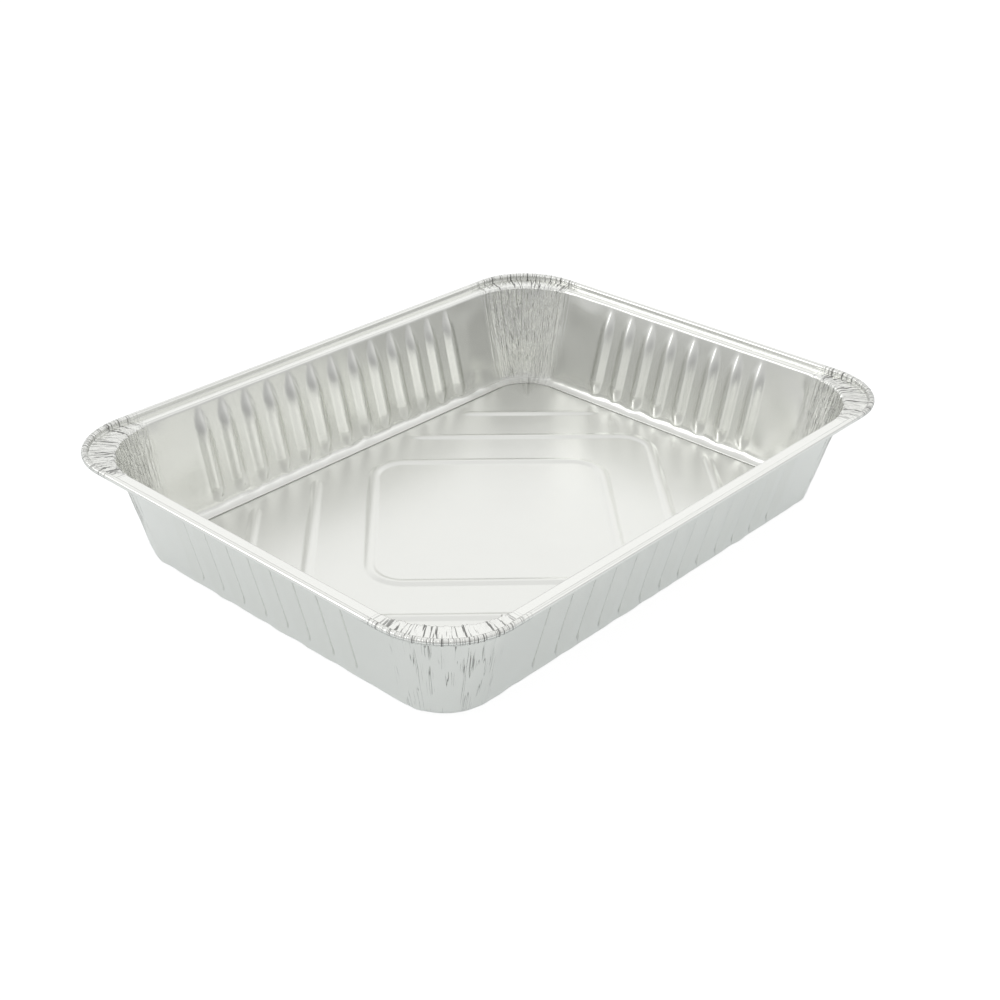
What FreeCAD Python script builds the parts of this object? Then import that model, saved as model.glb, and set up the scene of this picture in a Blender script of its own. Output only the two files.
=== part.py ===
"""Aluminium foil baking tray, pressed from one sheet of foil.

The foil is one thin wall between its underside and its inside, so the tray is two solid forms
of the same kind, cut one from the other: what the underside wraps, and what the inside wraps,
which is smaller by the foil all round. Every rib, gather and bead is pressed inwards, so it is
a cut in both forms. A flat ledge stands out round the mouth, and its edge is rolled into a curl.

Frame: millimetres, +X along the tray, +Z up, origin under the middle of the floor.
"""
import FreeCAD, Part
import math
import os
import Sketcher

V = FreeCAD.Vector
doc = FreeCAD.newDocument("foil_tray")

# Driving dimensions in mm, angles in degrees
driving = {
    "tray_length": 325.0,
    "tray_width": 252.0,
    "tray_height": 56.0,
    "foil": 0.12,
    "rim_corner": 36.0,
    "curl_radius": 1.5,
    "curl_rise": 1.4,
    "curl_turn": 270.0,
    "ledge_width": 6.5,
    "wall_lean": 13.9,
    "floor_corner": 24.5,
    "bend_radius": 5.0,
    "flute_pitch": 14.35,
    "flute_width": 9.0,
    "flute_depth": 1.6,
    "flute_taper": 7.0,
    "flute_top_gap": 2.0,
    "flute_foot_gap": 4.2,
    "flute_plain_end": 19.0,
    "gather_count": 11,
    "gather_width": 2.4,
    "gather_depth": 0.9,
    "gather_foot": 10.0,
    "gather_fade": 0.2,
    "bead_width": 5.6,
    "bead_height": 0.8,
    "bead_slope": 1.8,
    "bead_wall_gap": 6.0,
    "diamond_corner": 16.0,
    "diamond_wall_gap": 14.2,
    "middle_wall_gap": 10.0,
    "corner_bar_gap": 54.6,
}
sheet = doc.addObject("Spreadsheet::Sheet", "Sizes")
for row, (alias, number) in enumerate(driving.items(), start=1):
    sheet.set(f"A{row}", alias)
    sheet.set(f"B{row}", str(number))
    sheet.setAlias(f"B{row}", alias)
doc.recompute()

# Sizes that follow from the driving ones, as formulas of the sheet
HALF_LENGTH = "(Sizes.tray_length / 2)"
HALF_WIDTH = "(Sizes.tray_width / 2)"
LEDGE = "(Sizes.tray_height - Sizes.curl_radius - Sizes.curl_rise)"
RISER_INSET = "(2 * Sizes.curl_radius)"
FLOOR_INSET = f"({RISER_INSET} + Sizes.ledge_width + Sizes.wall_lean)"
FLOOR_HALF_LENGTH = f"({HALF_LENGTH} - {FLOOR_INSET})"
FLOOR_HALF_WIDTH = f"({HALF_WIDTH} - {FLOOR_INSET})"
SLOPE = f"sqrt(Sizes.wall_lean ^ 2 + {LEDGE} ^ 2)"
LEAN = f"atan(Sizes.wall_lean / {LEDGE})"

# Round sections are taken in this many flat strips
FLUTE_STRIPS = 4
CURL_STRIPS = 6
# Signs of X and Y in the four quarters, anticlockwise
QUARTERS = ((1, 1), (-1, 1), (-1, -1), (1, -1))


def value(formula):
    """The number that a formula of the sheet gives now."""
    result = sheet.evalExpression(formula)
    return float(getattr(result, "Value", result))


def origin_feature(body, role):
    """An origin plane or axis of the body, by its role."""
    return next(item for item in body.Origin.OriginFeatures if item.Role == role)


def sketch_on(body, name, role, base=("0", "0", "0"), turn="0"):
    """A sketch on an origin plane, shifted and turned within it by formulas."""
    sketch = body.newObject("Sketcher::SketchObject", name)
    sketch.AttachmentSupport = (origin_feature(body, role), [""])
    sketch.MapMode = "FlatFace"
    turned = FreeCAD.Rotation(V(0, 0, 1), value(turn))
    sketch.AttachmentOffset = FreeCAD.Placement(V(*[value(part) for part in base]), turned)
    for axis, formula in zip("xyz", base):
        if formula != "0":
            sketch.setExpression(f"AttachmentOffset.Base.{axis}", formula)
    if turn != "0":
        sketch.setExpression("AttachmentOffset.Rotation.Angle", turn)
    return sketch


def closed_outline(sketch, corners, arcs=None):
    """A closed outline through corners that are pairs of formulas.

    A side is straight unless arcs gives it a centre and a radius, which are formulas too.
    """
    arcs = arcs or {}
    points = [V(value(x), value(y), 0) for x, y in corners]
    sides, ends = [], []
    for side, start in enumerate(points):
        end = points[(side + 1) % len(points)]
        geometry, turns_left = Part.LineSegment(start, end), True
        if side in arcs:
            centre = V(*[value(part) for part in arcs[side][0]], 0)
            turns_left = (start - centre).cross(end - centre).z > 0
            from_to = (start, end) if turns_left else (end, start)
            angles = [math.atan2(point.y - centre.y, point.x - centre.x) for point in from_to]
            circle = Part.Circle(centre, V(0, 0, 1), (start - centre).Length)
            geometry = Part.ArcOfCircle(circle, *angles)
        sides.append(sketch.addGeometry(geometry))
        ends.append((1, 2) if turns_left else (2, 1))

    constraints, formulas = [], []
    for side, corner in enumerate(corners):
        start = (sides[side], ends[side][0])
        constraints.append(Sketcher.Constraint("Coincident", sides[side - 1], ends[side - 1][1], *start))
        formulas.append(None)
        for kind, axis, formula in (("DistanceX", -2, corner[0]), ("DistanceY", -1, corner[1])):
            if formula == "0":
                constraints.append(Sketcher.Constraint("PointOnObject", *start, axis))
                formulas.append(None)
            else:
                constraints.append(Sketcher.Constraint(kind, -1, 1, *start, value(formula)))
                formulas.append(formula)
        if side in arcs:
            radius = arcs[side][1]
            constraints.append(Sketcher.Constraint("Radius", sides[side], value(radius)))
            formulas.append(radius)
    first = sketch.ConstraintCount
    sketch.addConstraint(constraints)
    for index, formula in enumerate(formulas, start=first):
        if formula:
            sketch.setExpression(f"Constraints[{index}]", formula)


def rounded_rectangle(sketch, half_length, half_width, corner):
    """A rectangle about the sketch origin, with round corners."""
    points, arcs = [], {}
    for quarter, (sign_x, sign_y) in enumerate(QUARTERS):
        centre = (f"{sign_x} * ({half_length} - ({corner}))", f"{sign_y} * ({half_width} - ({corner}))")
        ends = [(f"{sign_x} * ({half_length})", centre[1]), (centre[0], f"{sign_y} * ({half_width})")]
        points += ends if sign_x == sign_y else ends[::-1]
        arcs[2 * quarter] = (centre, corner)
    closed_outline(sketch, points, arcs)


def feature(body, kind, name):
    """A new feature at the tip of the body, without the slow merging of its faces."""
    item = body.newObject("PartDesign::" + kind, name)
    item.Refine = False
    return item


def mirrored(corners, sign_x, sign_y):
    """The same corners on another side of the middle planes."""
    return [(f"{sign_x} * ({x})", f"{sign_y} * ({y})") for x, y in corners]


def pressed_fold(body, name, place, turn, sections):
    """Cut the fold that runs through outlines at several heights, given as (height, corners)."""
    sketches = []
    for number, (height, corners) in enumerate(sections, start=1):
        sketch = sketch_on(body, f"{name}_section_{number}", "XY_Plane", (*place, height), turn)
        closed_outline(sketch, corners)
        sketches.append(sketch)
    fold = feature(body, "SubtractiveLoft", name)
    fold.Profile = sketches[0]
    fold.Sections = [(sketch, [""]) for sketch in sketches[1:]]
    fold.Ruled = True
    body.Tip = fold
    return fold


def press_flutes(body, name, skin):
    """Upright flutes along the straight middle of each wall, fading out at both ends.

    A flute is an arc in section, taken in flat strips. Its ends fade because the section moves
    out of the wall by the flute's depth there.
    """
    radius = "((Sizes.flute_width ^ 2 / 4 + Sizes.flute_depth ^ 2) / (2 * Sizes.flute_depth))"
    strip = f"(2 * asin(Sizes.flute_width / 2 / {radius}) / {FLUTE_STRIPS})"
    reach = f"({radius} + {skin} / cos({strip} / 2))"
    foot, top = "Sizes.flute_foot_gap", f"({SLOPE} - Sizes.flute_top_gap)"
    stations = ((foot, 1), (f"({foot} + Sizes.flute_taper)", 0),
                (f"({top} - Sizes.flute_taper)", 0), (top, 1))
    for quarter, (turn_x, turn_y) in enumerate(((1, 0), (0, 1), (-1, 0), (0, -1))):
        half_run, half_across = FLOOR_HALF_WIDTH, FLOOR_HALF_LENGTH
        if turn_y:
            half_run, half_across = half_across, half_run
        spare = f"(2 * ({half_run} - Sizes.floor_corner - Sizes.flute_plain_end) - Sizes.flute_width)"
        count = f"(floor({spare} / Sizes.flute_pitch) + 1)"
        run = f"(({count} - 1) * Sizes.flute_pitch)"
        place = (f"{turn_y} * {run} / 2", f"{-turn_x} * {run} / 2")
        sections = []
        for along_slope, out in stations:
            surface = f"({half_across} + {along_slope} * sin({LEAN}))"
            corners = []
            for edge in range(FLUTE_STRIPS + 1):
                angle = f"({edge} - {FLUTE_STRIPS} / 2) * {strip}"
                depth = f"({reach} * cos({angle}) - {radius} + {1 - out} * Sizes.flute_depth)"
                corners.append((f"{surface} - {depth} / cos({LEAN})", f"{reach} * sin({angle})"))
            clear = f"{surface} + 2 * Sizes.flute_depth"
            corners += [(clear, corners[-1][1]), (clear, corners[0][1])]
            sections.append((f"{along_slope} * cos({LEAN})", corners))
        flute = pressed_fold(body, f"{name}_flute_{quarter}", place, str(90 * quarter), sections)
        row_of_flutes = feature(body, "LinearPattern", f"{name}_flute_row_{quarter}")
        row_of_flutes.Originals = [flute]
        row_of_flutes.Direction = (flute.Profile[0], ["V_Axis"])
        row_of_flutes.setExpression("Length", run)
        row_of_flutes.setExpression("Occurrences", count)
        body.Tip = row_of_flutes


def press_gathers(body, name, skin):
    """Fine pleats in the cone of each corner, deepest at the mouth and gone near the floor."""
    spread = "(Sizes.gather_width / 2 / Sizes.gather_depth)"
    grow = f"({skin} / sin(atan({spread})))"
    for quarter, (sign_x, sign_y) in enumerate(QUARTERS):
        centre = (f"{sign_x} * ({FLOOR_HALF_LENGTH} - Sizes.floor_corner)",
                  f"{sign_y} * ({FLOOR_HALF_WIDTH} - Sizes.floor_corner)")
        sections = []
        for level, depth in (("Sizes.gather_foot", "(-1 * Sizes.gather_fade)"),
                             (LEDGE, "Sizes.gather_depth")):
            surface = f"(Sizes.floor_corner + Sizes.wall_lean * {level} / {LEDGE})"
            apex = f"({surface} - {depth} - {grow})"
            clear = f"({surface} + Sizes.gather_depth)"
            half = f"({spread} * ({clear} - {apex}))"
            sections.append((level, [(apex, "0"), (clear, f"-1 * {half}"), (clear, half)]))
        pleat = pressed_fold(body, f"{name}_gather_{quarter}", centre,
                             f"{90 * quarter} + 45 / Sizes.gather_count", sections)
        fan = feature(body, "PolarPattern", f"{name}_gather_fan_{quarter}")
        fan.Originals = [pleat]
        fan.Axis = (pleat.Profile[0], ["N_Axis"])
        fan.setExpression("Angle", "90 * (Sizes.gather_count - 1) / Sizes.gather_count")
        fan.setExpression("Occurrences", "Sizes.gather_count")
        body.Tip = fan


def diamond_outline(sketch, reach, corner):
    """A square on its corner, rounded, that would reach this far along X and Y if it were sharp."""
    middle = f"({reach} - {corner} * sqrt(2))"
    bulge = f"({corner} / sqrt(2))"
    points, arcs = [], {}
    for quarter, (turn_x, turn_y) in enumerate(((1, 0), (0, 1), (-1, 0), (0, -1))):
        centre = (f"{turn_x} * {middle}", f"{turn_y} * {middle}")
        for side in (-1, 1):
            points.append((f"{turn_x} * ({middle} + {bulge}) - {side * turn_y} * {bulge}",
                           f"{turn_y} * ({middle} + {bulge}) + {side * turn_x} * {bulge}"))
        arcs[2 * quarter] = (centre, corner)
    closed_outline(sketch, points, arcs)


def press_beads(body, name, skin):
    """Raised beads of the floor, all on lines at 45 degrees, with sloping sides and ends.

    Inwards from the corners they are four bars, two points and a closed diamond. The diamond is
    raised as a whole and its middle is set back down.
    """
    side_slope = "(Sizes.bead_slope / Sizes.bead_height)"
    grow = f"({skin} * (sqrt(1 + {side_slope} ^ 2) - {side_slope}))"
    half = f"(Sizes.bead_width / 2 + {grow})"
    across = f"({half} / sqrt(2))"
    corner = "Sizes.diamond_corner"
    tip_cut = f"({corner} * (sqrt(2) - 1))"
    reach_x = f"({FLOOR_HALF_LENGTH} - Sizes.bend_radius - Sizes.bead_wall_gap)"
    reach_y = f"({FLOOR_HALF_WIDTH} - Sizes.bend_radius - Sizes.bead_wall_gap)"
    diamond = f"({reach_y} + {tip_cut} - Sizes.diamond_wall_gap)"
    middle = f"({reach_x} + {tip_cut} - Sizes.middle_wall_gap)"
    bar = f"({reach_x} + {reach_y} - Sizes.corner_bar_gap)"

    raised = sketch_on(body, name + "_bead_outlines", "XY_Plane", ("0", "0", skin))
    diamond_outline(raised, f"({diamond} + {half} * sqrt(2))", f"({corner} + {half})")
    for sign_x in (-1, 1):
        centre = (f"({middle} - {corner} * sqrt(2))", "0")
        wide, narrow = f"({corner} + {half})", f"({corner} - {half})"
        end_x = f"({middle} - {reach_y})"
        lower = [(f"{end_x} + {side} * {across}", f"-1 * ({reach_y} + {side} * {across})")
                 for side in (-1, 1)]
        bends = [(f"{centre[0]} + {size} / sqrt(2)", f"-1 * {size} / sqrt(2)") for size in (wide, narrow)]
        upper = [(x, f"-1 * ({y})") for x, y in (bends[0], lower[1], lower[0], bends[1])]
        corners = mirrored([*lower, bends[0], *upper, bends[1]], sign_x, 1)
        placed = (f"{sign_x} * {centre[0]}", "0")
        closed_outline(raised, corners, {2: (placed, wide), 6: (placed, narrow)})
    for sign_x, sign_y in QUARTERS:
        low = (reach_x, f"({bar} - {reach_x})")
        high = (f"({bar} - {reach_y})", reach_y)
        corners = [(f"{x} + {side} * {across}", f"{y} + {side} * {across}")
                   for (x, y), side in ((low, -1), (low, 1), (high, 1), (high, -1))]
        closed_outline(raised, mirrored(corners, sign_x, sign_y))
    beads = feature(body, "Pocket", name + "_beads")
    beads.Profile = raised
    beads.Reversed = True
    beads.setExpression("Length", "Sizes.bead_height")
    beads.setExpression("TaperAngle", f"-1 * atan({side_slope})")
    body.Tip = beads

    lowered = sketch_on(body, name + "_diamond_middle", "XY_Plane", ("0", "0", skin))
    diamond_outline(lowered, f"({diamond} - {half} * sqrt(2))", f"({corner} - {half})")
    plateau = feature(body, "Pad", name + "_middle_set_down")
    plateau.Profile = lowered
    plateau.setExpression("Length", "Sizes.bead_height")
    plateau.setExpression("TaperAngle", f"atan({side_slope})")
    body.Tip = plateau


def press_form(name, skin):
    """The solid that one side of the foil wraps; skin is 0 outside and the foil inside."""
    body = doc.addObject("PartDesign::Body", name)
    gap = f"({skin} * {SLOPE} / {LEDGE})"
    outline = sketch_on(body, name + "_outline", "XY_Plane", ("0", "0", skin))
    rounded_rectangle(outline, f"{FLOOR_HALF_LENGTH} - {gap}", f"{FLOOR_HALF_WIDTH} - {gap}",
                      f"Sizes.floor_corner - {gap}")
    block = feature(body, "Pad", name + "_block")
    block.Profile = outline
    block.setExpression("Length", f"{LEDGE} - {skin}")
    doc.recompute()

    walls = [f"Face{index}" for index, face in enumerate(block.Shape.Faces, start=1)
             if face.BoundBox.ZLength > value(LEDGE) / 2]
    leaning = body.newObject("PartDesign::Draft", name + "_leaning_walls")
    leaning.Base = (block, walls)
    leaning.NeutralPlane = (origin_feature(body, "XY_Plane"), [""])
    leaning.setExpression("Angle", LEAN)
    leaning.Reversed = True
    doc.recompute()

    foot = [f"Edge{index}" for index, edge in enumerate(leaning.Shape.Edges, start=1)
            if edge.BoundBox.ZMax < value(LEDGE) / 2]
    bend = body.newObject("PartDesign::Fillet", name + "_foot_bend")
    bend.Base = (leaning, foot)
    bend.setExpression("Radius", f"Sizes.bend_radius + Sizes.foil - {skin}")
    body.Tip = bend
    press_beads(body, name, skin)
    press_flutes(body, name, skin)
    press_gathers(body, name, skin)
    doc.recompute()
    return body


def curl_outline(sketch):
    """The riser from the ledge and the open roll on top of it, one foil thick, in flat strips."""
    middle_x = "(Sizes.rim_corner - Sizes.curl_radius)"
    middle_z = f"({LEDGE} + Sizes.curl_rise)"
    outer, inner = [], []
    for corners, radius in ((outer, "Sizes.curl_radius"), (inner, "(Sizes.curl_radius - Sizes.foil)")):
        corners.append((f"{middle_x} - {radius}", f"{LEDGE} - Sizes.foil"))
        for edge in range(CURL_STRIPS + 1):
            angle = f"(180 - {edge} * Sizes.curl_turn / {CURL_STRIPS})"
            corners.append((f"{middle_x} + {radius} * cos({angle})",
                            f"{middle_z} + {radius} * sin({angle})"))
    closed_outline(sketch, outer + inner[::-1])


def rolled_rim():
    """The riser and curl: one quarter of the rim, mirrored over both middle planes."""
    body = doc.addObject("PartDesign::Body", "rolled_rim")
    run_x = f"({HALF_LENGTH} - Sizes.rim_corner)"
    run_y = f"({HALF_WIDTH} - Sizes.rim_corner)"
    long_end = sketch_on(body, "long_side_section", "YZ_Plane", (run_y, "0", run_x))
    curl_outline(long_end)
    short_end = sketch_on(body, "short_side_section", "XZ_Plane", (run_x, "0", f"-1 * {run_y}"))
    curl_outline(short_end)
    runs = (("long_side", long_end, run_x, True), ("short_side", short_end, run_y, False))
    for name, section, run, backwards in runs:
        side = feature(body, "Pad", name)
        side.Profile = section
        side.setExpression("Length", run)
        side.Reversed = backwards
        body.Tip = side
        if name == "long_side":
            corner = feature(body, "Revolution", "rim_corner_turn")
            corner.Profile = section
            corner.ReferenceAxis = (section, ["V_Axis"])
            corner.Angle = 90
            corner.Reversed = True
            body.Tip = corner
    for plane in ("YZ_Plane", "XZ_Plane"):
        half = feature(body, "Mirrored", "mirrored_over_" + plane)
        half.MirrorPlane = (origin_feature(body, plane), [""])
        half.TransformMode = "Whole shape"
        body.Tip = half
    doc.recompute()
    return body


def flat_ledge():
    """The flat plate of foil that the mouth is cut through, out to the riser."""
    body = doc.addObject("PartDesign::Body", "flat_ledge")
    outline = sketch_on(body, "ledge_outline", "XY_Plane", ("0", "0", f"{LEDGE} - Sizes.foil"))
    edge = f"({RISER_INSET} - Sizes.foil)"
    rounded_rectangle(outline, f"{HALF_LENGTH} - {edge}", f"{HALF_WIDTH} - {edge}",
                      f"Sizes.rim_corner - {edge}")
    plate = feature(body, "Pad", "ledge_plate")
    plate.Profile = outline
    plate.setExpression("Length", "Sizes.foil")
    body.Tip = plate
    doc.recompute()
    return body


outside = press_form("outside_form", "0")
inside = press_form("inside_form", "Sizes.foil")

covered = doc.addObject("Part::MultiFuse", "covered_form")
covered.Shapes = [outside, flat_ledge()]
pan = doc.addObject("Part::Cut", "open_pan")
pan.Base = covered
pan.Tool = inside
tray = doc.addObject("Part::MultiFuse", "tray")
tray.Shapes = [pan, rolled_rim()]
tray.Label = "foil_tray"
doc.recompute()

faults = [item.Name for item in doc.Objects if {"Invalid", "Error"} & set(item.State)]
if faults:
    raise RuntimeError(f"features that failed: {faults}")
if tray.Shape.isNull() or not tray.Shape.isValid() or len(tray.Shape.Solids) != 1:
    raise RuntimeError("the tray is not one valid solid")

box = tray.Shape.optimalBoundingBox()
print(f"tray {box.XLength:.2f} x {box.YLength:.2f} x {box.ZLength:.2f} mm, lowest point {box.ZMin:.3f}")
print(f"foil volume {tray.Shape.Volume / 1000:.2f} cm3, {len(tray.Shape.Faces)} faces")
os.makedirs("parts", exist_ok=True)
tray.Shape.exportStep(os.path.join("parts", tray.Label + ".step"))
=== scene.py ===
# %% [markdown]
# # A foil baking tray
# The real tray is one sheet of soft aluminium, thinner than a postcard, pressed between two dies
# and rolled over at its edge. Nothing on it is a separate part, so this lesson makes one piece:
# a fine sheet that follows the pressed form, given the thickness of foil at the end.
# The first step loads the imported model, which gives the size that the sheet has to keep.

# %% Load the frame
import math

import bpy
import numpy as np
from mathutils import Matrix, Vector
from mathutils.geometry import delaunay_2d_cdt


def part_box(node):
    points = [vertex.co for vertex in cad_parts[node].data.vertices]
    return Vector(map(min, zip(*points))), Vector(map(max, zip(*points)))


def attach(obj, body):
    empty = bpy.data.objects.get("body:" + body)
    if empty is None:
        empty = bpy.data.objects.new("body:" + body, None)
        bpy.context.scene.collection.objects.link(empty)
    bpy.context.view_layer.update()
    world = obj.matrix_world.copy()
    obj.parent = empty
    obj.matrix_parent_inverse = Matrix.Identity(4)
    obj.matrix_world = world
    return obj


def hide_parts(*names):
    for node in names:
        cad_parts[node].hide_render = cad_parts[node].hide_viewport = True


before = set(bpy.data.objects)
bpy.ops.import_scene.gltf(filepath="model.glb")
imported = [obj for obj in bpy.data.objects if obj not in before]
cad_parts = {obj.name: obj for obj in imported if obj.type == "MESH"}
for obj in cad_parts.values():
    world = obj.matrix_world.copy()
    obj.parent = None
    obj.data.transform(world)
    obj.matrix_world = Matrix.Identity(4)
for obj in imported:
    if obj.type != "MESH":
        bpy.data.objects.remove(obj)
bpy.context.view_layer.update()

lowest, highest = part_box("foil_tray")
half_length, half_width, height = highest
print("tray", [round(float(high - low), 4) for low, high in zip(lowest, highest)])

# %% [markdown]
# ## Sizes
# The plan of the tray is a rounded rectangle at every height. From the floor to the mouth all of
# these rectangles share the centres of their corners, and so do those of the riser and the roll.
# The two sets of centres differ, which makes the ledge nearly twice as wide at the corners as
# along the sides, as on the real tray. Two sets of centres and a few radii are all that the plan
# needs.

# %% Sizes
mm = 0.001
foil = 0.12 * mm
roll_radius = 1.5 * mm
roll_rise = 1.4 * mm
rim_corner = 36.0 * mm
ledge_width = 6.5 * mm
wall_lean = 13.9 * mm
floor_corner = 24.5 * mm
bend_radius = 5.0 * mm
mouth_round = 0.9 * mm

ledge_height = height - roll_radius - roll_rise
floor_inset = 2 * roll_radius + ledge_width + wall_lean
wall_centres = np.array([half_length, half_width]) - floor_inset - floor_corner
rim_centres = np.array([half_length, half_width]) - rim_corner
slope_length = math.hypot(wall_lean, ledge_height)
lean = math.atan2(wall_lean, ledge_height)
print("wall corner centres", wall_centres.round(4), "rim corner centres", rim_centres.round(4))

# %% [markdown]
# ## Columns round the plan
# The sheet is a grid: columns go round the tray and rows go from the floor up to the roll. An
# even grid would be simpler, but a column on a straight side has to be fine only where a flute
# bends the foil. So the places across one flute are chosen once and repeated at the pitch. The
# corners are full of small pleats and get many columns at an even pace.

# %% Columns round the plan
flute_pitch = 14.35 * mm
flute_width = 9.0 * mm
flute_depth = 2.0 * mm
plain_end = 19.0 * mm
coarse_step = 2.6 * mm
beside_flute = 1.0 * mm
corner_columns = 120
across_flute = np.array([-5.6, -4.7, -4.3, -3.2, -2.1, -1.0, 0, 1.0, 2.1, 3.2, 4.3, 4.7, 5.6]) * mm


def half_side(side):
    """Half the straight run of a side. Side 0 faces +X, and the others follow round the tray."""
    return float(wall_centres[1 - side % 2])


def flute_middles(half_run):
    """Middles of the flutes along one side, about its own middle."""
    count = int((2 * (half_run - plain_end) - flute_width) / flute_pitch) + 1
    return (np.arange(count) - (count - 1) / 2) * flute_pitch


def side_places(half_run):
    """Places of the columns along one straight side, from one corner to the next."""
    middles = flute_middles(half_run)
    fluted = (middles[:, None] + across_flute[None, :]).ravel()
    end = np.arange(-half_run, fluted[0] - beside_flute, coarse_step)
    return np.concatenate([end, fluted[:-1], -end[:0:-1]])


columns = []
for side in range(4):
    half_run = half_side(side)
    facing = math.radians(90 * side)
    for place in side_places(half_run):
        columns.append((facing, place / half_run, place, -1.0, side))
    for step in range(corner_columns):
        turn = step / corner_columns
        columns.append((facing + math.radians(90 * turn), 1.0, half_run, turn, side))
facing, along, place, corner_turn, side_number = np.array(columns).T
in_corner = corner_turn >= 0
side_number = side_number.astype(int)
outward = np.stack([np.cos(facing), np.sin(facing)], axis=1)
side_out = np.stack([np.cos(side_number * math.pi / 2), np.sin(side_number * math.pi / 2)], axis=1)
side_along = np.stack([-side_out[:, 1], side_out[:, 0]], axis=1)
hold = side_out + along[:, None] * side_along
print(len(columns), "columns,", int(in_corner.sum()), "of them in the corners")

# %% [markdown]
# ## Rows up the section
# A section through the wall is a short list of stretches: the round bend at the foot, the
# leaning wall, the rounded edge of the mouth, the flat ledge, the riser and the open roll. Each
# row keeps which set of corner centres it belongs to, its radius about them, its height, and how
# far up the wall it is, which the flutes and pleats need later.

# %% Rows up to the mouth
foot_rows = 5
mouth_rows = 3
climbs = [0.0, 0.03, 0.065, 0.11, 0.16, 0.24, 0.35, 0.47, 0.59, 0.70, 0.79, 0.85, 0.90, 0.94, 0.98, 1.0]
foil_gap = foil * slope_length / ledge_height
foot_turn = math.pi / 2 - lean
foot_reach = bend_radius * math.tan(foot_turn / 2)
foot_corner = floor_corner - foil_gap + wall_lean * foil / ledge_height
mouth_reach = mouth_round * math.tan(foot_turn / 2)
mouth_corner = foot_corner + slope_length * math.sin(lean)

rows = []
for step in range(foot_rows):
    turn = foot_turn * step / foot_rows
    rows.append((0.0, foot_corner - foot_reach + bend_radius * math.sin(turn),
                 foil + bend_radius * (1 - math.cos(turn)), foot_reach * (step / foot_rows) ** 2))

for climb in climbs:
    climbed = foot_reach + climb * (slope_length - foot_reach - mouth_reach)
    rows.append((0.0, foot_corner + climbed * math.sin(lean), foil + climbed * math.cos(lean), climbed))
last_wall_row = len(rows) - 1

for step in range(1, mouth_rows + 1):
    left = foot_turn - foot_turn * step / mouth_rows
    rows.append((0.0, mouth_corner + mouth_reach - mouth_round * math.sin(left),
                 ledge_height - mouth_round * (1 - math.cos(left)), slope_length))
print(len(rows), "rows up to the mouth")

# %% [markdown]
# The ledge's rows go over from one set of corner centres to the other, little by little, so the
# ledge widens evenly into the corners. The roll is an open curl of about three quarters of a
# turn, which hides the sharp edge of the foil.

# %% Rows of the ledge, the riser and the roll
ledge_shares = [0.15, 0.4, 0.65, 0.88]
riser_round, riser_step = 0.15 * mm, 0.25 * mm
roll_rows, roll_turn = 10, 262.0

ledge_start = mouth_corner + mouth_reach
riser = rim_corner - 2 * roll_radius + foil
for share in ledge_shares:
    rows.append((share, ledge_start + share * (riser - ledge_start), ledge_height, slope_length))
ledge_rows = range(last_wall_row + 1, len(rows))

rows.append((1.0, riser - riser_round, ledge_height, slope_length))
rows.append((1.0, riser, ledge_height + riser_step, slope_length))
roll_inner = roll_radius - foil
roll_middle = (rim_corner - roll_radius, height - roll_radius)
first_roll_row = len(rows)
for step in range(roll_rows):
    angle = math.radians(180 - roll_turn * step / (roll_rows - 1))
    rows.append((1.0, roll_middle[0] + roll_inner * math.cos(angle),
                 roll_middle[1] + roll_inner * math.sin(angle), slope_length))
rim_share, radius, level, climbed = np.array(rows).T
wall_part = np.arange(len(rows)) <= last_wall_row
print(len(rows), "rows,", len(rows) * len(columns), "points in the sheet so far")

# %% [markdown]
# ## The smooth sheet
# Rows and columns now give every point. Next to each point its inward direction is kept, square
# to the foil, because all that the dies press into the sheet moves along it.

# %% The smooth sheet
centres = (1 - rim_share)[:, None] * wall_centres + rim_share[:, None] * rim_centres
plan = hold[None, :, :] * centres[:, None, :] + radius[:, None, None] * outward[None, :, :]
one_each = plan.shape[:2] + (1,)
sheet = np.concatenate([plan, np.broadcast_to(level[:, None, None], one_each)], axis=2)

rise = np.gradient(level)
run = np.gradient(radius + rim_share * (rim_centres[0] - wall_centres[0]))
length = np.hypot(rise, run)
inward = np.concatenate([-(rise / length)[:, None, None] * outward[None, :, :],
                         np.broadcast_to((run / length)[:, None, None], one_each)], axis=2)
print("sheet box", sheet.reshape(-1, 3).min(0).round(4), sheet.reshape(-1, 3).max(0).round(4))

# %% [markdown]
# ## Flutes
# Upright flutes stiffen the walls. In section each one is a low roof with a rounded ridge,
# pressed inwards, and it fades to a point at both ends because the roof sinks back into the wall
# there. They could be lofted one by one, but one formula gives the depth at any place on a side,
# and where it drops below zero the wall stays flat. That leaves the crease that the real flutes
# have along both sides.

# %% Flutes
flute_top_gap, flute_foot_gap = 2.2 * mm, 3.0 * mm
top_taper, foot_taper = 11.0 * mm, 6.0 * mm
crest_round = 1.1 * mm
crest_top = math.hypot(flute_width / 2, crest_round)


def flute_press(place, climbed, middle):
    """How far the foil is pressed in at a place along a side and a way up the wall."""
    roof = crest_top - np.hypot(place - middle, crest_round)
    roof = roof * flute_depth / (crest_top - crest_round)
    to_end = np.minimum((climbed - flute_foot_gap) / foot_taper,
                        (slope_length - flute_top_gap - climbed) / top_taper)
    faded = 1 - np.clip(to_end, 0, 1)
    return np.maximum(roof - flute_depth * faded, 0) * (to_end > 0)


press = np.zeros(plan.shape[:2])
wall_climbed = climbed[wall_part][:, None]
for side in range(4):
    on_side = (side_number == side) & ~in_corner
    for middle in flute_middles(half_side(side)):
        press[np.ix_(wall_part, on_side)] += flute_press(place[on_side][None, :], wall_climbed, middle)
print("deepest flute", round(press.max() / mm, 2), "mm")

# %% [markdown]
# Handling has pushed two small dents into the foot of one long wall, at its last two flutes.
# Each is a round bump that fades out evenly, pressed the other way.

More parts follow.
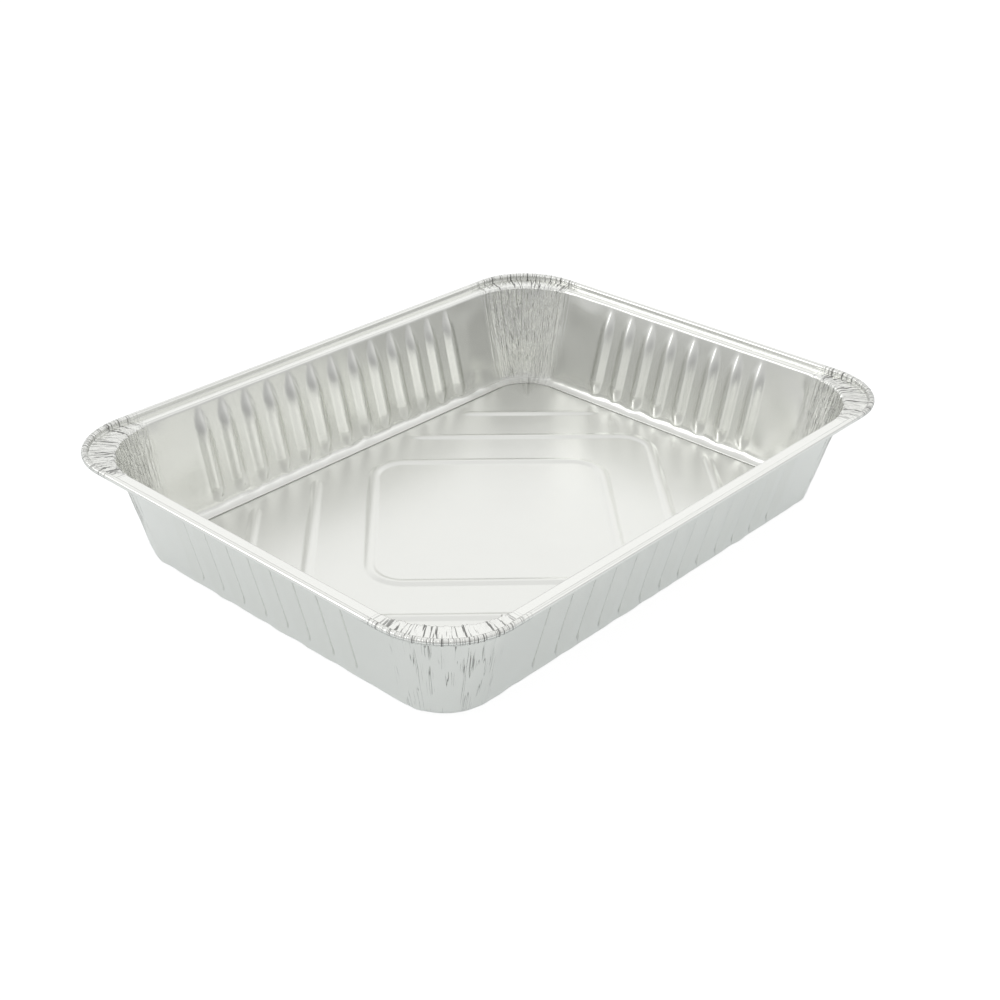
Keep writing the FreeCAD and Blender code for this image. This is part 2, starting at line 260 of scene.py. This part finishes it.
# %% Two dents
dented_side = 1
dent_depth, dent_reach, dent_climb = 0.7 * mm, 2.2 * mm, 6.0 * mm
on_side = (side_number == dented_side) & ~in_corner
dent_middles = flute_middles(half_side(dented_side))[-2:]
for middle in dent_middles:
    off = np.hypot(place[on_side][None, :] - middle, wall_climbed - dent_climb) / dent_reach
    press[np.ix_(wall_part, on_side)] -= dent_depth * np.exp(-off ** 2)
print(len(dent_middles), "dents at", (dent_middles / mm).round(1), "mm along the side")

# %% [markdown]
# ## Pleats at the corners
# A flat sheet has too much foil at the corners, and the press gathers it into fine pleats. They
# are never even: each has its own place, depth, width and slant, and starts at its own height.
# A seeded generator draws these numbers, and a pleat is a small roof-shaped ridge in them. A
# second, finer crumple gives every column its own slow wander up the wall. A cloth simulation
# could fold the corner too, but drawn pleats are quick and come out the same each time.

# %% Pleats at the corners
pleats_per_corner = 24
crumple_depth, crumple_heights = 0.07 * mm, 5
crumple_growth, end_growth = 1.6, 12
chance = np.random.default_rng(11)
up_wall = np.clip(climbed / slope_length, 0, 1)
pleat_field = np.zeros(plan.shape[:2])
for side in range(4):
    here = (side_number == side) & in_corner
    turn = corner_turn[here]
    for number in range(pleats_per_corner):
        middle = (number + chance.uniform(0.1, 0.9)) / pleats_per_corner
        depth = chance.uniform(0.35, 1.0) * mm * chance.choice([1, 1, -0.6])
        spread = chance.uniform(0.009, 0.015)
        slant = chance.normal(0, 0.012)
        start = chance.uniform(0.02, 0.5)
        grown = np.clip((up_wall - start) / (1.02 - start), 0, 1) ** 0.7
        off = np.abs(turn[None, :] - middle - slant * (1 - up_wall)[:, None])
        pleat_field[:, here] += depth * grown[:, None] * np.clip(1 - off / spread, 0, 1)
    crumple = chance.normal(0, crumple_depth, (crumple_heights, len(turn)))
    between = up_wall * (crumple_heights - 1)
    lower = np.minimum(between.astype(int), crumple_heights - 2)
    share = (between - lower)[:, None]
    wander = crumple[lower] * (1 - share) + crumple[lower + 1] * share
    pleat_field[:, here] += wander * np.clip(up_wall * crumple_growth, 0, 1)[:, None]
    pleat_field[:, here] *= np.clip(np.minimum(turn, 1 - turn) * end_growth, 0, 1)[None, :]
print("pleats reach", (pleat_field.min() / mm).round(2), "to", (pleat_field.max() / mm).round(2), "mm")

# %% [markdown]
# ## Slow waves
# Thin foil is never quite flat. Reflections in metal show a slope of one degree, so waves only a
# tenth of a millimetre high are enough to make the walls, the ledge and the floor look like
# foil and not like a casting. A few sine waves in random directions add up to such a surface.
# The plain ends of the walls, which no flute stiffens, get higher waves than the rest.

# %% Slow waves
low_wave, plain_wave = 0.04 * mm, 0.17 * mm
past_flute, plain_blend = 4 * mm, 8 * mm


def slow_waves(across, up, longest, number, seed):
    """A smooth random height of about 1, from a few sine waves of lengths down to half the longest."""
    draw = np.random.default_rng(seed)
    total = 0
    for _ in range(number):
        wave = 2 * math.pi / (longest * draw.uniform(0.5, 1.0))
        heading, phase = draw.uniform(0, 2 * math.pi, 2)
        total = total + np.sin(wave * (across * math.cos(heading) + up * math.sin(heading)) + phase)
    return total / math.sqrt(number)


steps_round = np.linalg.norm(np.diff(sheet[last_wall_row, :, :2], axis=0), axis=1)
round_plan = np.concatenate([[0], np.cumsum(steps_round)])
wall_waves = slow_waves(round_plan[None, :], climbed[:, None], longest=46 * mm, number=7, seed=3)
off_the_ends = np.clip(np.minimum(up_wall, 1.0 - up_wall) * 6, 0, 1) * wall_part
last_flute = np.array([flute_middles(half_side(side))[-1] for side in range(4)])[side_number]
plain = np.clip((np.abs(place) - last_flute - past_flute) / plain_blend, 0, 1)
wave_height = low_wave + plain_wave * plain
press += wave_height[None, :] * wall_waves * off_the_ends[:, None]
print("waves of up to", round(float(np.abs(wall_waves).max() * wave_height.max() / mm), 2), "mm")

# %% [markdown]
# The bend at the foot is where fingers and shelves knock a tray, so it has shorter waves of its
# own. They are full a few millimetres up and fade out further up the wall.

# %% Waves along the foot
foot_wave = 0.32 * mm
foot_share = np.interp(climbed, [0, 3 * mm, 7 * mm, 14 * mm], [0, 1, 0.8, 0]) * wall_part
foot_waves = slow_waves(round_plan, 0 * round_plan, longest=17 * mm, number=9, seed=8)
press += foot_wave * foot_share[:, None] * foot_waves[None, :]
print("foot waves of up to", round(float(np.abs(foot_waves).max() * foot_wave / mm), 2), "mm")

# %% [markdown]
# ## Press everything into the sheet
# The wall rows move by flutes, pleats and waves together. On the ledge the same pleats run on
# outwards and fade before the riser, and they crimp the roll a little at the corners, always
# inwards, so that the tray keeps its outer size.

# %% Press everything into the sheet
ledge_wave = 0.03 * mm
crimp_share, deepest_crimp = 0.45, 0.3 * mm
crimp_in, crimp_down = 0.8, 0.5
press += pleat_field * wall_part[:, None]
ledge_fade = np.interp(np.arange(len(rows)), [ledge_rows[0], ledge_rows[3], ledge_rows[-1]],
                       [0.7, 0.45, 0.25])
for row in ledge_rows:
    press[row] = ledge_fade[row] * pleat_field[row] + ledge_wave * wall_waves[-1]
sheet = sheet + press[:, :, None] * inward

crimp = np.clip(np.abs(pleat_field[-1]) * crimp_share, 0, deepest_crimp)
for row in range(first_roll_row, len(rows)):
    sheet[row, :, :2] -= crimp[:, None] * outward * crimp_in
    sheet[row, :, 2] -= crimp * crimp_down
print("sheet box", sheet.reshape(-1, 3).min(0).round(4), sheet.reshape(-1, 3).max(0).round(4))

# %% [markdown]
# ## The beaded floor
# Raised beads keep the floor flat in the oven: a rounded diamond in the middle, a point at each
# end outside it, and a bar across each corner, all on lines at 45 degrees. Each bead starts as
# the path of its middle line, with its straight runs cut into short steps.

# %% Paths of the beads
bead_corner = 16 * mm
bead_step = 3.5 * mm
wall_gap, diamond_gap, points_gap, bars_gap = 6 * mm, 14.2 * mm, 10 * mm, 54.6 * mm
floor_reach = wall_centres + floor_corner - bend_radius - wall_gap
tip_cut = bead_corner * (math.sqrt(2) - 1)
diamond = floor_reach[1] + tip_cut - diamond_gap
points_reach = floor_reach[0] + tip_cut - points_gap
bars_reach = floor_reach.sum() - bars_gap


def straight(start, end):
    """Points along a straight stretch, without its last one."""
    start, end = np.array(start), np.array(end)
    count = max(int(np.linalg.norm(end - start) / bead_step), 1)
    return [start + (end - start) * number / count for number in range(count)]


def round_tip(reach, heading):
    """Points round the tip of a 45 degree path that points along an axis, right to left."""
    middle = reach - bead_corner * math.sqrt(2)
    turns = np.radians(heading + np.linspace(-45, 45, 9))
    centre = middle * np.array([math.cos(math.radians(heading)), math.sin(math.radians(heading))])
    return [centre + bead_corner * np.array([math.cos(turn), math.sin(turn)]) for turn in turns]


def joined(stretches, closed):
    """Fills the straight runs between given points and returns one path."""
    path = []
    for first, second in zip(stretches, stretches[1:] + ([stretches[0]] if closed else [])):
        path += straight(first, second)
    return np.array(path if closed else path + [np.array(stretches[-1])])


paths = [(joined(sum((round_tip(diamond, turn) for turn in (0, 90, 180, 270)), []), True), True)]
for flip in (1, -1):
    tip = round_tip(points_reach, 0 if flip == 1 else 180)
    end = np.array([flip * (points_reach - floor_reach[1]), floor_reach[1]])
    first, last = (end * [1, -1], end) if flip == 1 else (end, end * [1, -1])
    paths.append((joined([first] + tip + [last], False), False))
    for flip_y in (1, -1):
        low = np.array([floor_reach[0], bars_reach - floor_reach[0]]) * [flip, flip_y]
        high = np.array([bars_reach - floor_reach[1], floor_reach[1]]) * [flip, flip_y]
        paths.append((joined([low, high], False), False))
print(len(paths), "beads")

# %% [markdown]
# Only the beads need a fine mesh, so points are set along lines beside each path, raised by the
# bead's section. The outermost lines lie just outside the bead, flat on the floor. They keep the
# smooth shading of its sides from spreading over the large flat faces next to them.

# %% Points on the beads
bead_width, bead_height = 5.8 * mm, 0.9 * mm
end_taper, end_width = 7 * mm, 0.35
across_bead = np.array([-1.25, -0.98, -0.75, -0.38, 0, 0.38, 0.75, 0.98, 1.25]) * bead_width / 2


def bead_rise(across):
    """Height of a bead at a distance from its middle line: rounded sides and a flatter top."""
    share = np.clip(np.abs(across) / (bead_width / 2), 0, 1)
    return bead_height * (1 - share ** 2.2) ** 1.3


floor_points, floor_rise = [], []
for path, closed in paths:
    ahead, behind = np.roll(path, -1, axis=0), np.roll(path, 1, axis=0)
    if not closed:
        ahead[-1], behind[0] = path[-1], path[0]
    heading = (ahead - behind) / np.linalg.norm(ahead - behind, axis=1)[:, None]
    aside = np.stack([heading[:, 1], -heading[:, 0]], axis=1)
    walked = np.concatenate([[0], np.cumsum(np.linalg.norm(np.diff(path, axis=0), axis=1))])
    to_end = np.minimum(walked, walked[-1] - walked)
    fade = 1.0 if closed else np.clip(to_end / end_taper, 0, 1)
    fade = np.broadcast_to(np.sin(fade * math.pi / 2), walked.shape)
    for across in across_bead:
        floor_points.append(path + aside * across * (end_width + (1 - end_width) * fade[:, None]))
        floor_rise.append(bead_rise(across) * fade)
floor_points, floor_rise = np.concatenate(floor_points), np.concatenate(floor_rise)
print(len(floor_points), "points on the beads")

# %% [markdown]
# A wide grid fills the rest of the floor. It leaves out every place that is near a bead or the
# foot bend, so that no sliver cuts into either. One close line of points follows the bend, and
# keeps its shading from spreading as well. A Delaunay triangulation joins them all to the inner
# edge of the foot bend.

# %% Fill the floor
spacing = 7.5 * mm
clear_of_foot, clear_of_bead = 2.5 * mm, 2.2 * mm
line_gap, line_step = 0.9 * mm, 1.6 * mm

floor_edge = sheet[0, :, :2]
grid_x, grid_y = np.meshgrid(np.arange(-half_length, half_length, spacing),
                             np.arange(-half_width, half_width, spacing))
grid = np.stack([grid_x.ravel(), grid_y.ravel()], axis=1)
beyond = np.linalg.norm(np.maximum(np.abs(grid) - wall_centres, 0), axis=1)
grid = grid[beyond < radius[0] - clear_of_foot]
nearest = np.array([np.min(np.linalg.norm(floor_points - point, axis=1)) for point in grid])
grid = grid[nearest > clear_of_bead]

edge_line = hold * wall_centres + (radius[0] - line_gap) * outward
walked = np.cumsum(np.linalg.norm(np.diff(edge_line, axis=0, prepend=edge_line[-1:]), axis=1))
edge_line = edge_line[np.diff(np.floor(walked / line_step), prepend=-1) > 0]

inner_triangles, closest = 1, 1e-7
flat = np.concatenate([floor_edge, floor_points, grid, edge_line])
loop = [(number, (number + 1) % len(floor_edge)) for number in range(len(floor_edge))]
found = delaunay_2d_cdt([Vector(point) for point in flat], loop, [], inner_triangles, closest)
flat_found, faces_found, origins = found[0], found[2], found[3]
print(len(flat_found), "floor points,", len(faces_found), "floor triangles")

# %% [markdown]
# Each point of the floor then gets its height: the foil, the bead that it may be on, and a very
# slow wave that dies out towards the foot bend.

# %% Heights of the floor
floor_wave, longest_wave, settle_length = 0.05 * mm, 90 * mm, 12 * mm
rise_of = np.concatenate([np.zeros(len(floor_edge)), floor_rise, np.zeros(len(grid) + len(edge_line))])
floor_vertices = []
for (x, y), origin in zip(flat_found, origins):
    from_edge = radius[0] - np.linalg.norm(np.maximum(np.abs([x, y]) - wall_centres, 0))
    settle = np.clip(from_edge / settle_length, 0, 1)
    height_here = 1 + float(slow_waves(x, y, longest_wave, number=8, seed=5)) / 3
    wave = floor_wave * height_here * settle
    floor_vertices.append((x, y, foil + rise_of[origin[0]] + wave if origin else foil))
print("floor rises to", round(max(z for x, y, z in floor_vertices) / mm, 2), "mm")

# %% [markdown]
# ## One sheet with a thickness
# The grid and the floor share the points of the foot bend's inner edge, so the floor's numbers
# for them are swapped for the grid's. Solidify then gives the sheet its real thickness on the
# outside, and its result is kept as a plain mesh.

# %% One sheet with a thickness
count = len(columns)
vertices = [tuple(point) for point in sheet.reshape(-1, 3)]
faces = []
for row in range(len(rows) - 1):
    low, high = row * count, (row + 1) * count
    faces += [(low + c, low + (c + 1) % count, high + (c + 1) % count, high + c) for c in range(count)]
new_number = {}
for number, origin in enumerate(origins):
    on_edge = [old for old in origin if old < count]
    if on_edge:
        new_number[number] = on_edge[0]
    else:
        new_number[number] = len(vertices)
        vertices.append(floor_vertices[number])
faces += [tuple(new_number[corner] for corner in face) for face in faces_found]

skin = bpy.data.meshes.new("tray_skin")
skin.from_pydata(vertices, [], faces)
skin.validate()
tray = bpy.data.objects.new("foil_tray_sheet", skin)
bpy.context.scene.collection.objects.link(tray)
thick = tray.modifiers.new("foil thickness", "SOLIDIFY")
thick.thickness = foil
thick.offset = -1
bpy.context.view_layer.update()
finished = bpy.data.meshes.new_from_object(tray.evaluated_get(bpy.context.evaluated_depsgraph_get()))
tray.modifiers.clear()
tray.data = finished
finished.shade_smooth()
triangles = sum(len(polygon.vertices) - 2 for polygon in finished.polygons)
print(triangles, "triangles in the tray")

# %% [markdown]
# ## A small language for finishes
# A finish is a tree of nodes. Written node by node it hides its own sums, so one small class
# wraps a socket and lets Python's signs add the Math nodes, and one method makes any other node.

# %% A small language for finishes
class Reading:
    """A socket that can be used in Python sums."""

    def __init__(self, finish, socket):
        self.finish, self.socket = finish, socket

    def math(self, operation, *others):
        """A Math node on this socket and on other sockets or numbers."""
        inputs = dict(enumerate((self, *others)))
        return self.finish.node("ShaderNodeMath", {"operation": operation}, inputs)

    def clipped(self):
        """The same value, held between 0 and 1."""
        return self.math("MAXIMUM", 0.0).math("MINIMUM", 1.0)

    def __add__(self, other):
        return self.math("ADD", other)

    def __sub__(self, other):
        return self.math("SUBTRACT", other)

    def __mul__(self, other):
        return self.math("MULTIPLY", other)

    def __rsub__(self, other):
        return self * -1.0 + other

    __radd__ = __add__
    __rmul__ = __mul__


class Finish:
    """A material or world whose nodes are made by one method."""

    def __init__(self, owner):
        owner.use_nodes = True
        self.owner, self.tree = owner, owner.node_tree
        self.tree.nodes.clear()

    def node(self, kind, settings=None, inputs=None, output=0):
        """Adds a node: its type, then its settings, then a value or link for each named socket."""
        made = self.tree.nodes.new(kind)
        for name, setting in (settings or {}).items():
            if name == "stops":
                for number, (position, colour) in enumerate(setting):
                    stops = made.color_ramp.elements
                    stop = stops[number] if number < len(stops) else stops.new(position)
                    stop.position, stop.color = position, (*colour, 1.0)
            else:
                setattr(made, name, setting)
        for name, source in (inputs or {}).items():
            if isinstance(source, Reading):
                self.tree.links.new(source.socket, made.inputs[name])
            else:
                made.inputs[name].default_value = source
        return Reading(self, made.outputs[output]) if len(made.outputs) else made


print("finish helper ready")

# %% [markdown]
# ## Masks on the tray
# The press leaves each part of the tray with its own marks: creases on the ledge, the roll and
# the walls of the corners, and a duller floor. A mask is a value that is 1 on such a part and 0
# elsewhere. It could be painted on the mesh, but here it is worked out from the place on the
# tray, and which way the foil faces tells the inside of a wall from the outside.

# %% Masks on the tray
ledge_drop, ledge_blend = 1.2 * mm, 5 / 6 * mm
roll_lift, roll_blend = 0.9 * mm, 0.4 * mm
floor_lift, floor_blend = 1.0 * mm, 2.5 * mm
corner_blend, corner_spill = 12.5 * mm, 0.05
side_contrast = 40.0

foil_finish = Finish(bpy.data.materials.new("rolled_foil"))
spot = foil_finish.node("ShaderNodeTexCoord", output="Object")
spot_x, spot_y, spot_z = [
    foil_finish.node("ShaderNodeSeparateXYZ", {}, {"Vector": spot}, output=axis) for axis in range(3)]
normal = foil_finish.node("ShaderNodeNewGeometry", output="Normal")
faces_out = foil_finish.node(
    "ShaderNodeVectorMath", {"operation": "DOT_PRODUCT"}, {0: spot, 1: normal}, output=1)


def above(low, blend):
    """1 above a height and 0 below it, with a soft step between."""
    return ((spot_z - float(low)) * float(1 / blend)).clipped()


past_x = spot_x.math("ABSOLUTE") - float(wall_centres[0])
past_y = spot_y.math("ABSOLUTE") - float(wall_centres[1])
corner_mask = (past_x.math("MINIMUM", past_y) * (1 / corner_blend) + corner_spill).clipped()
on_ledge = above(ledge_height - ledge_drop, ledge_blend)
on_roll = above(ledge_height + roll_lift, roll_blend)
on_floor = 1.0 - above(floor_lift, floor_blend)
on_outside = (faces_out * side_contrast).clipped() * (1.0 - on_ledge)
on_inside = (1.0 - on_ledge) - on_outside
print("masks use", len(foil_finish.tree.nodes), "nodes")

# %% [markdown]
# ## Creases between the pleats
# Between the pleats the foil is crushed into creases as fine as a hair, too fine for the mesh.
# They are noise laid out by the angle about the corner's centre, so that they run like the
# pleats: outwards on the ledge and the roll, upright on the walls. Outside, only a few thin hairs
# in patches break the smooth wall. The noise drives a bump, and painted shade darkens the colour
# in the depths of the creases and along the hairs, because light is lost between folds that the
# bump can't really hide.

# %% Creases between the pleats
crease_height = 0.35 * mm
ledge_relief, roll_relief = 1.3, 1.5
inside_relief, outside_relief, hair_relief = 3.2, 0.14, 0.4
rim_shade, wall_shade, hair_shade = 0.85, 0.5, 0.75


def crease_noise(turn_scale, out_scale, up_scale, detail):
    """Noise laid out by the angle about the corner's centre, so that it runs like the pleats."""
    at = foil_finish.node("ShaderNodeCombineXYZ", {}, {
        "X": around * turn_scale, "Y": from_centre * out_scale, "Z": spot_z * up_scale})
    return foil_finish.node("ShaderNodeTexNoise", {}, {"Vector": at, "Scale": 1.0, "Detail": detail})


def depths(creases, below, contrast):
    """1 in the depth of the creases, where the noise is low, and 0 elsewhere."""
    return ((below - creases) * contrast).clipped()


around = past_y.math("ARCTAN2", past_x)
from_centre = (past_x * past_x + past_y * past_y).math("SQRT")
ledge_creases = crease_noise(46.0, 60.0, 0.0, 2.0)
roll_creases = crease_noise(85.0, 0.0, 0.0, 1.0)
wall_creases = crease_noise(42.0, 0.0, 130.0, 3.0)
patches = ((crease_noise(8.0, 0.0, 55.0, 1.0) - 0.5) * 14.0).clipped()
thin_lines = (crease_noise(26.0, 0.0, 32.0, 1.0) - 0.5).math("ABSOLUTE") * 42.0
hairs = (1.0 - thin_lines).clipped() * patches

creases = corner_mask * (
    on_ledge * (ledge_creases * ledge_relief + on_roll * roll_creases * roll_relief)
    + on_inside * wall_creases * inside_relief
    + on_outside * (wall_creases * outside_relief - hairs * hair_relief))
rim_depths = (depths(ledge_creases, 0.42, 20.0) * on_ledge).math(
    "MAXIMUM", depths(roll_creases, 0.42, 12.0) * on_roll)
wall_depths = depths(wall_creases, 0.40, 9.0) * on_inside
# Painted shade: the depths of the creases, and the hairs outside, are darkened in the colour.
painted_crease_shade = corner_mask * (rim_depths * rim_shade + wall_depths * wall_shade + on_outside * hairs * hair_shade)
print("creases and masks use", len(foil_finish.tree.nodes), "nodes")

# %% [markdown]
# ## Rolled foil
# The foil is bright but not a mirror: the rollers leave very fine lines along the sheet, and the
# press leaves cloudy patches that are a little duller. Both are too fine to model, so noise that
# is stretched along the tray drives the roughness and a faint bump, and a second noise gives the
# clouds. The floor is duller than the walls. Last, the sheet is fixed to the tray's one body and
# takes the place of the plain solid.

# %% Rolled foil
along_the_sheet, line_relief = (10.0, 900.0, 900.0), 0.006
wall_dull, cloud_dull, line_dull, floor_dull = 0.155, 0.08, 0.02, 0.12
cloudy_foil = (0.80, 0.805, 0.775, 1.0)
clean_foil = (0.86, 0.865, 0.835, 1.0)
crease_shade = (0.09, 0.09, 0.085, 1.0)

stretched = foil_finish.node(
    "ShaderNodeVectorMath", {"operation": "MULTIPLY"}, {0: spot, 1: along_the_sheet})
lines = foil_finish.node("ShaderNodeTexNoise", {}, {"Vector": stretched, "Scale": 1.0, "Detail": 2.0})
clouds = foil_finish.node("ShaderNodeTexNoise", {}, {"Vector": spot, "Scale": 26.0, "Detail": 4.0})
bump = foil_finish.node("ShaderNodeBump", {}, {
    "Strength": 1.0, "Distance": crease_height, "Height": lines * line_relief + creases})
tone = foil_finish.node(
    "ShaderNodeMix", {"data_type": "RGBA"}, {0: clouds, 6: cloudy_foil, 7: clean_foil}, output=2)
# The painted shade of the creases darkens the foil's colour towards crease_shade.
tone = foil_finish.node(
    "ShaderNodeMix", {"data_type": "RGBA"}, {0: painted_crease_shade, 6: tone, 7: crease_shade}, output=2)
dullness = wall_dull + clouds * cloud_dull + lines * line_dull + on_floor * floor_dull
surface = foil_finish.node("ShaderNodeBsdfPrincipled", {}, {
    "Base Color": tone, "Metallic": 1.0, "Roughness": dullness, "Normal": bump})
foil_finish.node("ShaderNodeOutputMaterial", {}, {"Surface": surface})
tray.data.materials.clear()
tray.data.materials.append(foil_finish.owner)
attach(tray, "root")
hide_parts("foil_tray")
print("foil finish has", len(foil_finish.tree.nodes), "nodes")

# %% [markdown]
# ## Table
# The tray stands on a pale table. Three kinds of ray meet it and each gets its own answer. The
# camera sees it nearly plain white, with a breath of the tray's shadow. Metal that mirrors it
# sees a third of a cool white glow in it, as of a lit white sweep. Light that only bounces off
# it finds plain pale matt.

# %% Table
half_table, table_drop = 4.0, 0.2 * mm
camera_glow, metal_glow = 0.8, 0.33
pure_white = (1.0, 1.0, 1.0, 1.0)
pale, cool_white = (0.88, 0.88, 0.88, 1.0), (0.93, 0.985, 1.0, 1.0)

table_corners = [(x * half_table, y * half_table, 0) for x, y in ((-1, -1), (1, -1), (1, 1), (-1, 1))]
table_mesh = bpy.data.meshes.new("table")
table_mesh.from_pydata(table_corners, [], [(0, 1, 2, 3)])
table = bpy.data.objects.new("table", table_mesh)
table.location.z = -table_drop
bpy.context.scene.collection.objects.link(table)

table_finish = Finish(bpy.data.materials.new("pale_table"))
to_camera = table_finish.node("ShaderNodeLightPath", output="Is Camera Ray")
to_metal = table_finish.node("ShaderNodeLightPath", output="Is Glossy Ray")
matt_pale = table_finish.node("ShaderNodeBsdfDiffuse", {}, {"Color": pale})
matt_white = table_finish.node("ShaderNodeBsdfDiffuse", {}, {"Color": pure_white})
white_glow = table_finish.node("ShaderNodeEmission", {}, {"Color": pure_white, "Strength": 1.12})
cool_glow = table_finish.node("ShaderNodeEmission", {}, {"Color": cool_white, "Strength": 1.1})
for_camera = table_finish.node("ShaderNodeMixShader", {}, {0: camera_glow, 1: matt_white, 2: white_glow})
for_metal = table_finish.node("ShaderNodeMixShader", {}, {0: metal_glow, 1: matt_pale, 2: cool_glow})
for_the_rest = table_finish.node("ShaderNodeMixShader", {}, {0: to_metal, 1: matt_pale, 2: for_metal})
table_finish.node("ShaderNodeOutputMaterial", {}, {
    "Surface": table_finish.node("ShaderNodeMixShader", {},
                                 {0: to_camera, 1: for_the_rest, 2: for_camera})})
table_mesh.materials.append(table_finish.owner)
print("table is", 2 * half_table, "m wide")

# %% [markdown]
# ## White room
# Metal shows what stands around it, so the room matters more than the lamps. An even white room
# would leave the foil without form. This one is white at middle height and greyer near the
# floor and high overhead. It also darkens towards one side, mostly low down, where the flutes
# then find the dark side of their stripes. The camera itself sees plain white.

# %% White room
room = Finish(bpy.data.worlds.new("white_room"))
bpy.context.scene.world = room.owner
heading = room.node("ShaderNodeTexCoord", output="Generated")
up = room.node("ShaderNodeSeparateXYZ", {}, {"Vector": heading}, output=2)


def greys(factor, stops):
    """A ramp of greys, from pairs of a position and a brightness."""
    return room.node("ShaderNodeValToRGB", {"stops": [(at, (grey,) * 3) for at, grey in stops]}, {0: factor})


towards_dark, fade_upwards = (-0.6, -0.8, 0.0), 0.45
by_height = greys(up, [(0.0, 0.64), (0.2, 0.80), (0.42, 1.0), (0.6, 0.99), (0.8, 0.76), (1.0, 0.90)])
dark_side = room.node("ShaderNodeVectorMath", {"operation": "DOT_PRODUCT"},
                      {0: heading, 1: towards_dark}, output=1)
by_side = greys(dark_side * 0.5 + 0.5, [(0.0, 1.0), (0.2, 1.0), (0.42, 0.86), (0.6, 0.80), (1.0, 0.41)])
low_down = (1.0 - up * fade_upwards).clipped()
shade = room.node("ShaderNodeMix", {"data_type": "RGBA"},
                  {0: low_down, 6: pure_white, 7: by_side}, output=2)
dimmed = room.node("ShaderNodeVectorMath", {"operation": "MULTIPLY"}, {0: by_height, 1: shade})
room_light = room.node("ShaderNodeBackground", {}, {"Color": dimmed, "Strength": 1.11})
plain_white = room.node("ShaderNodeBackground", {}, {"Color": pure_white, "Strength": 1.0})
camera_sees = room.node("ShaderNodeLightPath", output="Is Camera Ray")
room.node("ShaderNodeOutputWorld", {}, {
    "Surface": room.node("ShaderNodeMixShader", {}, {0: camera_sees, 1: room_light, 2: plain_white})})
print("room uses", len(room.tree.nodes), "nodes")

# %% [markdown]
# ## Lamps
# One large soft lamp stands to the left of the tray and a much weaker one to the right, so that
# the flutes have a bright and a dark side without hard glints.

# %% Lamps
def soft_lamp(name, place, size, power):
    """A square area lamp that faces the tray."""
    light = bpy.data.lights.new(name, "AREA")
    light.shape, light.size, light.energy = "SQUARE", size, power
    lamp = bpy.data.objects.new(name, light)
    lamp.location = place
    lamp.rotation_euler = (tray_middle - Vector(place)).to_track_quat("-Z", "Y").to_euler()
    bpy.context.scene.collection.objects.link(lamp)
    return lamp


tray_middle = Vector((0, 0, 0.03))
side_lamp = soft_lamp("side_lamp", (-1.6, 1.2, 1.3), 1.2, 6.0)
far_lamp = soft_lamp("far_lamp", (1.5, -1.0, 1.6), 1.0, 0.7)
print("lamps of", side_lamp.data.energy, "and", round(far_lamp.data.energy, 2), "watts")

# %% [markdown]
# ## Camera
# The camera was fitted to the rim and the floor in the photograph. Its distance and lens make
# the near corner as large against the far one as there, and it is turned by about one degree.

# %% Camera
azimuth, elevation, roll = math.radians(-48.24), math.radians(29.16), 0.018
distance, lens, sensor = 0.6673, 55.94, 36.0
aim = Vector((-0.0591, -0.0574, height))
back = Vector((math.sin(azimuth) * math.cos(elevation), -math.cos(azimuth) * math.cos(elevation),
               math.sin(elevation)))
right = (-back).cross(Vector((0, 0, 1))).normalized()
upright = right.cross(-back)
turned_right = right * math.cos(roll) + upright * math.sin(roll)
turned_up = upright * math.cos(roll) - right * math.sin(roll)
camera_data = bpy.data.cameras.new("camera")
camera_data.lens, camera_data.sensor_width, camera_data.sensor_height = lens, sensor, sensor
camera_data.clip_start = 0.01
camera = bpy.data.objects.new("camera", camera_data)
camera.matrix_world = Matrix((
    (turned_right.x, turned_up.x, back.x, aim.x + distance * back.x),
    (turned_right.y, turned_up.y, back.y, aim.y + distance * back.y),
    (turned_right.z, turned_up.z, back.z, aim.z + distance * back.z),
    (0, 0, 0, 1)))
bpy.context.scene.collection.objects.link(camera)
bpy.context.scene.camera = camera
bpy.context.scene.view_settings.view_transform = "Standard"
print("camera at", [round(value, 3) for value in camera.matrix_world.translation])
